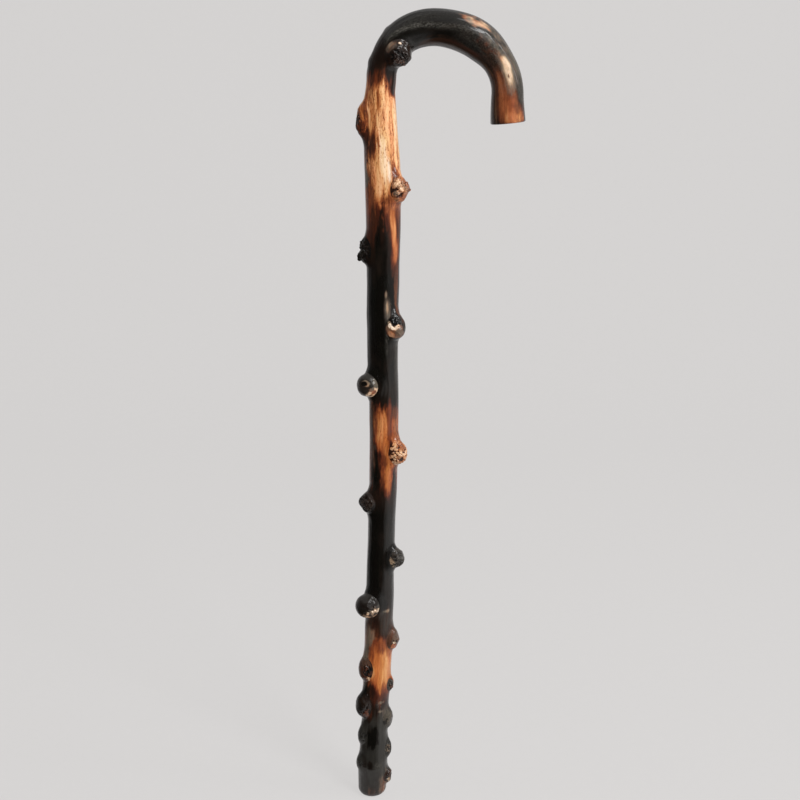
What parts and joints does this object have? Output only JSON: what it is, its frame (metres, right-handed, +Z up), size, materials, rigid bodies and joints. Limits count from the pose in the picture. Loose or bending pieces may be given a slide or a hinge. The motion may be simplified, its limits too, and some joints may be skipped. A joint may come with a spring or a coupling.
{
  "type": "walking cane",
  "caption": "Rustic walking cane: a peeled branch bent into a crook handle, with trimmed branch knots along the shaft and a rounded tip.",
  "frame": {"origin": "centre of the flat ground face of the tip", "axes": "+Z up along the shaft towards the crook, +X from the shaft towards the nose of the crook, -Y the front, to which the knots' faces are turned"},
  "size_m": [0.1781, 0.0447, 0.8705],
  "materials": {
    "scorched_wood": "peeled hardwood, flame-scorched in black, brown and honey bands under a clear gloss lacquer",
    "charred_knot": "trimmed branch end, crumbly and charred, lacquered",
    "bare_knot": "trimmed branch end, dark in the middle with pale bare wood round the rim, lacquered"
  },
  "bodies": {
    "root": {"stem": "scorched_wood", "crook_knot": "charred_knot", "knot_01": "charred_knot", "knot_02": "bare_knot", "knot_03": "charred_knot", "knot_04": "bare_knot", "knot_05": "bare_knot", "knot_06": "bare_knot", "knot_07": "charred_knot", "knot_08": "charred_knot", "knot_09": "bare_knot", "knot_10": "charred_knot", "knot_11": "charred_knot", "knot_12": "charred_knot", "knot_13": "charred_knot", "knot_14": "charred_knot", "knot_15": "charred_knot", "knot_16": "charred_knot", "knot_17": "charred_knot", "knot_18": "charred_knot"}
  },
  "joints": []
}
